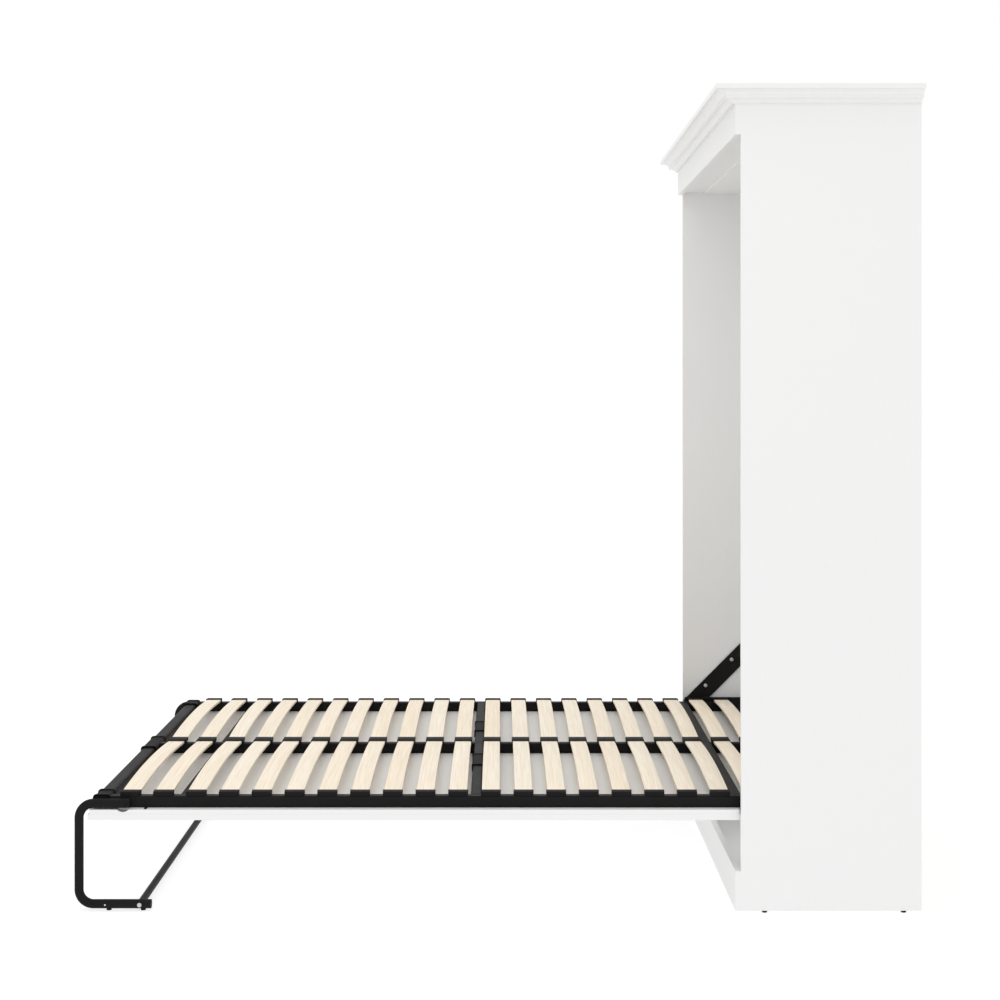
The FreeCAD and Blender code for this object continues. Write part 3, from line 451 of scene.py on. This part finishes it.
# Rail clips: flat moulded tabs near the foot that hold the long rails to the carrier board beside
# them, tapered at the tip.
CLIP_Y = -0.971
CLIP_WIDE = 0.010
CLIP_OUT = 0.019
CLIP_HIGH = 0.0028
CLIP_TIP = (1, 0.6, 0.7)
CLIP_ROUND = 0.0007
rail_low, rail_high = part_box("side_rail_right")
rail_clips = block("rail_clips", (rail_high.x, CLIP_Y - CLIP_WIDE / 2, rail_low.z),
                   (rail_high.x + CLIP_OUT, CLIP_Y + CLIP_WIDE / 2, rail_low.z + CLIP_HIGH))
pick(rail_clips, "FACE", lambda point: point.x > rail_high.x + CLIP_OUT - NEAR)
bpy.ops.transform.resize(value=CLIP_TIP, center_override=(0, CLIP_Y, rail_low.z))
bpy.ops.object.mode_set(mode="OBJECT")
round_off(rail_clips, CLIP_ROUND, 2)
both_sides(rail_clips)
wear(rail_clips, nylon, "bed")

# Foot sleeves: moulded black covers that clip over the foot rail at its corners and middle, with a
# raised collar at each end and an open underside.
COLLAR_LONG = 0.006
COLLAR_STEP_MIDDLE = 1.1 * COLLAR_LONG
COLLAR_STEP_END = 1.2 * COLLAR_LONG
COLLAR_GROW = 1.09
SLEEVE_WALL = 0.002
SLEEVE_SHARP = math.radians(35)
FOOT_SLEEVE_ROUND = 0.009
CORNER_SLEEVE_LONG = 0.072
MIDDLE_SLEEVE_HALF = 0.084


def sleeve(name, low, high, corner):
    """A moulded cover along X: a top and two sides with rounded edges, and a collar at each end."""
    piece = block(name, low, high)
    for axis, end in ((0, low[0]), (0, high[0]), (2, low[2])):
        pick(piece, "FACE", lambda point: abs(point[axis] - end) < NEAR)
        bpy.ops.mesh.delete(type="FACE")
        bpy.ops.object.mode_set(mode="OBJECT")
    pick(piece, "EDGE", lambda point: True)
    bpy.ops.mesh.bevel(offset=corner, segments=4, affect="EDGES")
    for cut in (low[0] + COLLAR_LONG, low[0] + COLLAR_STEP_END,
                high[0] - COLLAR_STEP_END, high[0] - COLLAR_LONG):
        bpy.ops.mesh.select_all(action="SELECT")
        bpy.ops.mesh.bisect(plane_co=(cut, 0, 0), plane_no=(1, 0, 0))
    bpy.ops.object.mode_set(mode="OBJECT")
    seat = ((low[0] + high[0]) / 2, (low[1] + high[1]) / 2, low[2])
    pick(piece, "VERT",
         lambda point: min(point.x - low[0], high[0] - point.x) < COLLAR_STEP_MIDDLE)
    bpy.ops.transform.resize(value=(1, COLLAR_GROW, COLLAR_GROW), center_override=seat)
    bpy.ops.object.mode_set(mode="OBJECT")
    only(piece)
    wall = piece.modifiers.new("wall", "SOLIDIFY")
    wall.thickness = SLEEVE_WALL
    wall.offset = -1
    bpy.ops.object.modifier_apply(modifier=wall.name)
    bpy.ops.object.shade_smooth_by_angle(angle=SLEEVE_SHARP)
    return piece


sleeve_low, sleeve_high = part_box("foot_sleeves")
corner_sleeve = sleeve("foot_corner_sleeves",
                       (sleeve_high.x - CORNER_SLEEVE_LONG, sleeve_low.y, sleeve_low.z),
                       sleeve_high, FOOT_SLEEVE_ROUND)
both_sides(corner_sleeve)
wear(corner_sleeve, nylon, "bed")
middle_sleeve = sleeve("foot_middle_sleeve",
                       (-MIDDLE_SLEEVE_HALF, sleeve_low.y, sleeve_low.z),
                       (MIDDLE_SLEEVE_HALF, sleeve_high.y, sleeve_high.z), FOOT_SLEEVE_ROUND)
wear(middle_sleeve, nylon, "bed")
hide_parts("foot_sleeves")

# Tie sleeves: slimmer covers of the same kind over the cross tie in the middle of the bed, which
# keep the slats beside it from knocking.
TIE_COVER_LONG = 0.162
TIE_COVER_ROUND = 0.004
tie_low, tie_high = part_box("tie_sleeves")
tie_cover = sleeve("tie_covers", (tie_high.x - TIE_COVER_LONG, tie_low.y, tie_low.z), tie_high,
                   TIE_COVER_ROUND)
both_sides(tie_cover)
wear(tie_cover, nylon, "bed")
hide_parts("tie_sleeves")

# Slat holders: moulded nylon pockets on the rails that grip the slat ends, with an open mouth, a
# tapered back and rounded rims. The middle ones are open on both sides.
SLAT_COUNT = 21
SLAT_PITCH = 0.091
MOUTH_WALL = 0.0015
MOUTH_DEEP = 0.0225
HOLDER_WIDE = 0.056
HOLDER_BACK = (1, 0.93, 0.95)
HOLDER_ROUND = 0.0006


def mouth(piece, x, inwards):
    """A pocket for a slat end, sunk into the face of a holder at X."""
    pick(piece, "FACE", lambda point: abs(point.x - x) < NEAR)
    bpy.ops.mesh.inset(thickness=MOUTH_WALL)
    bpy.ops.mesh.extrude_region_move(
        TRANSFORM_OT_translate={"value": (inwards * MOUTH_DEEP, 0, 0)})
    bpy.ops.object.mode_set(mode="OBJECT")


def row(piece):
    """One copy of a piece for each slat, from the foot to the head."""
    only(piece)
    line = piece.modifiers.new("row", "ARRAY")
    line.count = SLAT_COUNT
    line.use_relative_offset = False
    line.use_constant_offset = True
    line.constant_offset_displace = (0, SLAT_PITCH, 0)
    bpy.ops.object.modifier_apply(modifier=line.name)


outer_low, outer_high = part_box("slat_holders_right")
outer_holders = block("slat_holders_outer", outer_low,
                      (outer_high.x, outer_low.y + HOLDER_WIDE, outer_high.z))
pick(outer_holders, "FACE", lambda point: point.x > outer_high.x - NEAR)
bpy.ops.transform.resize(value=HOLDER_BACK, center_override=(
    outer_high.x, outer_low.y + HOLDER_WIDE / 2, outer_low.z))
bpy.ops.object.mode_set(mode="OBJECT")
mouth(outer_holders, outer_low.x, 1)
round_off(outer_holders, HOLDER_ROUND, 2)
row(outer_holders)
both_sides(outer_holders)
wear(outer_holders, nylon, "bed")
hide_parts("slat_holders_right", "slat_holders_left")
mid_low, mid_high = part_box("slat_holders_centre")
mid_holders = block("slat_holders_middle", mid_low,
                    (mid_high.x, mid_low.y + HOLDER_WIDE, mid_high.z))
mouth(mid_holders, mid_low.x, 1)
mouth(mid_holders, mid_high.x, -1)
round_off(mid_holders, HOLDER_ROUND, 2)
row(mid_holders)
wear(mid_holders, nylon, "bed")
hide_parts("slat_holders_centre")

# Slats: strips of birch plies glued in a bow, sanded, with eased edges and a clear seal, pushed
# into the holders in two rows.
SLAT_WIDE = 0.050
SLAT_THICK = 0.008
SLAT_BOW = 0.012
SLAT_GRIP = 0.022
SLAT_ROUND = 0.0014
BOW_STEPS = 18
slat_low, slat_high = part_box("slats_right")
slats = block("bowed_slats", slat_low,
              (slat_low.x + SLAT_GRIP, slat_low.y + SLAT_WIDE, slat_low.z + SLAT_THICK))
bow_half = (slat_high.x - slat_low.x) / 2 - SLAT_GRIP
bow_radius = (bow_half ** 2 + SLAT_BOW ** 2) / (2 * SLAT_BOW)
bow_run = 2 * bow_half / BOW_STEPS


def bow(along):
    """Height of the slat's bow at a distance along it from the holder's mouth."""
    return math.sqrt(bow_radius ** 2 - (along - bow_half) ** 2) - bow_radius + SLAT_BOW


pick(slats, "FACE", lambda point: point.x > slat_low.x + SLAT_GRIP - NEAR)
for index in range(BOW_STEPS):
    lift = bow((index + 1) * bow_run) - bow(index * bow_run)
    bpy.ops.mesh.extrude_region_move(TRANSFORM_OT_translate={"value": (bow_run, 0, lift)})
bpy.ops.mesh.extrude_region_move(TRANSFORM_OT_translate={"value": (SLAT_GRIP, 0, 0)})
bpy.ops.object.mode_set(mode="OBJECT")
round_off(slats, SLAT_ROUND, 2)
row(slats)
both_sides(slats)

# Birch veneer: cream wood with fine straight grain along the slat, 1.5 mm lines drawn 4 mm wide,
# a tone of its own for each slat, and darker glue lines between the plies on the edges. The tones
# change in the gaps, 20 mm before each slat.
GRAIN_WIDE = 0.004
GRAIN_LONG = 0.220
GRAIN_DEEP = 0.02
PLY = 0.0016
GLUE = PLY / 5
EDGE_TILT = 0.4
TONE_LEAD = 0.02
birch, tree, shader, place = start_finish("birch_veneer_sealed")
grain_map = add_node(tree, "ShaderNodeMapping", {
    "Vector": place, "Scale": (1 / GRAIN_LONG, 1 / GRAIN_WIDE, 1 / GRAIN_DEEP)})
grain = add_node(tree, "ShaderNodeTexNoise", {
    "Vector": grain_map.outputs["Vector"], "Scale": 1.0, "Detail": 4.0, "Roughness": 0.65,
    "Distortion": 0.4})
where = add_node(tree, "ShaderNodeSeparateXYZ", {"Vector": place})
shifted = add_node(tree, "ShaderNodeMath", {
    0: where.outputs["Y"], 1: slat_low.y - TONE_LEAD}, operation="SUBTRACT")
number = add_node(tree, "ShaderNodeMath", {
    0: shifted.outputs["Value"], 1: SLAT_PITCH}, operation="SNAP")
side_of = add_node(tree, "ShaderNodeMath", {0: where.outputs["X"]}, operation="SIGN")
own = add_node(tree, "ShaderNodeCombineXYZ", {
    "X": side_of.outputs["Value"], "Y": number.outputs["Value"]})
chance = add_node(tree, "ShaderNodeTexWhiteNoise", {
    "Vector": own.outputs["Vector"]}, noise_dimensions="3D")
grain_tone = add_node(tree, "ShaderNodeValToRGB", {"Fac": grain.outputs["Fac"]})
grain_tone.color_ramp.elements[0].position = 0.28
grain_tone.color_ramp.elements[0].color = linear("eee2ce")
grain_tone.color_ramp.elements[1].position = 0.62
grain_tone.color_ramp.elements[1].color = linear("fff8ee")
warm = add_node(tree, "ShaderNodeMix", {
    "Factor": chance.outputs["Value"], "A": linear("fefaf2"), "B": linear("fcf5e9")},
    data_type="RGBA")
per_slat = add_node(tree, "ShaderNodeMix", {
    "Factor": 1.0, "A": grain_tone.outputs["Color"], "B": warm.outputs["Result"]},
    data_type="RGBA", blend_type="MULTIPLY")
facing = add_node(tree, "ShaderNodeTexCoord", {}).outputs["Normal"]
tilt = add_node(tree, "ShaderNodeSeparateXYZ", {"Vector": facing})
upright = add_node(tree, "ShaderNodeMath", {0: tilt.outputs["Z"]}, operation="ABSOLUTE")
is_edge = add_node(tree, "ShaderNodeMath", {
    0: upright.outputs["Value"], 1: EDGE_TILT}, operation="LESS_THAN")
plies = add_node(tree, "ShaderNodeMath", {0: where.outputs["Z"], 1: PLY}, operation="PINGPONG")
glue = add_node(tree, "ShaderNodeMath", {
    0: plies.outputs["Value"], 1: GLUE}, operation="LESS_THAN")
glue_edge = add_node(tree, "ShaderNodeMath", {
    0: glue.outputs["Value"], 1: is_edge.outputs["Value"]}, operation="MULTIPLY")
edged = add_node(tree, "ShaderNodeMix", {
    "Factor": glue_edge.outputs["Value"], "A": per_slat.outputs["Result"],
    "B": linear("d6c19a")}, data_type="RGBA")
tree.links.new(edged.outputs["Result"], shader.inputs["Base Color"])
birch_gloss = add_node(tree, "ShaderNodeMapRange", {
    "Value": grain.outputs["Fac"], "To Min": 0.58, "To Max": 0.42})
tree.links.new(birch_gloss.outputs["Result"], shader.inputs["Roughness"])
grain_bump = add_node(tree, "ShaderNodeBump", {
    "Height": grain.outputs["Fac"], "Strength": 0.15, "Distance": 0.0003})
tree.links.new(grain_bump.outputs["Normal"], shader.inputs["Normal"])
wear(slats, birch, "bed")
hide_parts("slats_right", "slats_left")

# Folding leg: two bent steel tubes on pins through the rails and a crossbar near the floor, powder
# coated black and bolted together, with moulded plugs in the tube ends and glides under the lower
# runs.
dress(powder, "leg_tube_right", "leg_tube_left", "leg_crossbar", "leg_pin_right", "leg_pin_left")
dress(zinc, "leg_bolts")
dress(nylon, "leg_plugs", "leg_glides")

# Studio: a pale seamless floor that glows a little, an even white dome, soft lamps at the side and
# overhead, and a weak one low in the cabinet, under the bed's head, where little light comes in.
FLOOR_WIDE = 60
FLOOR_DROP = 0.0005
WHITE = (1, 1, 1, 1)
bpy.ops.object.select_all(action="DESELECT")
bpy.ops.mesh.primitive_plane_add(size=FLOOR_WIDE, location=(0, 0, -FLOOR_DROP))
floor = bpy.context.active_object
floor.name = "studio_floor"
paper, _, shader, _ = start_finish("pale_studio_floor")
shader.inputs["Base Color"].default_value = linear("a0a0a0")
shader.inputs["Roughness"].default_value = 0.9
shader.inputs["Emission Color"].default_value = WHITE
shader.inputs["Emission Strength"].default_value = 0.72
floor.data.materials.append(paper)
bpy.context.scene.view_settings.view_transform = "Standard"

# The dome is pure white as a background, and a little dimmer as a light.
world = bpy.data.worlds.new("white_dome")
world.use_nodes = True
seen = add_node(world.node_tree, "ShaderNodeLightPath", {}).outputs["Is Camera Ray"]
glow = add_node(world.node_tree, "ShaderNodeMapRange", {
    "Value": seen, "To Min": 0.91, "To Max": 1.0})
dome = world.node_tree.nodes["Background"]
dome.inputs["Color"].default_value = WHITE
world.node_tree.links.new(glow.outputs["Result"], dome.inputs["Strength"])
bpy.context.scene.world = world


def lamp(name, place, aim, size, power):
    """A square soft lamp at a place, turned to a point, which isn't seen itself."""
    bpy.ops.object.light_add(type="AREA", location=place)
    light = bpy.context.active_object
    light.name = name
    light.data.size = size
    light.data.energy = power
    light.visible_camera = False
    light.rotation_euler = (light.location - Vector(aim)).to_track_quat("Z", "Y").to_euler()


lamp("side_lamp", (7.5, 0.0, 3.0), (0, 0.2, 1.0), 4.0, 30)
lamp("top_lamp", (0.8, -0.6, 5.0), (0, -0.2, 0.3), 3.0, 34)
lamp("low_lamp", (0.2, 0.84, 0.06), (0.2, 0.84, 1.0), 0.3, 0.5)

# Camera: level at the side of the bed and square to it, with the horizon high in the frame as in
# the photograph. Its focal length and horizon are in pixels of that frame.
CAMERA_PLACE = (5.835, 0.009, 1.449)
FRAME_PIXELS = 1000
FOCAL_PIXELS = 1831
HORIZON_PIXELS = 385
SENSOR_WIDE = 36
camera = bpy.data.cameras.new("side_camera")
camera.sensor_width = SENSOR_WIDE
camera.lens = SENSOR_WIDE * FOCAL_PIXELS / FRAME_PIXELS
camera.shift_y = (HORIZON_PIXELS - FRAME_PIXELS / 2) / FRAME_PIXELS
viewer = bpy.data.objects.new("side_camera", camera)
viewer.location = CAMERA_PLACE
viewer.rotation_euler = (math.radians(90), 0, math.radians(90))
bpy.context.scene.collection.objects.link(viewer)
bpy.context.scene.camera = viewer
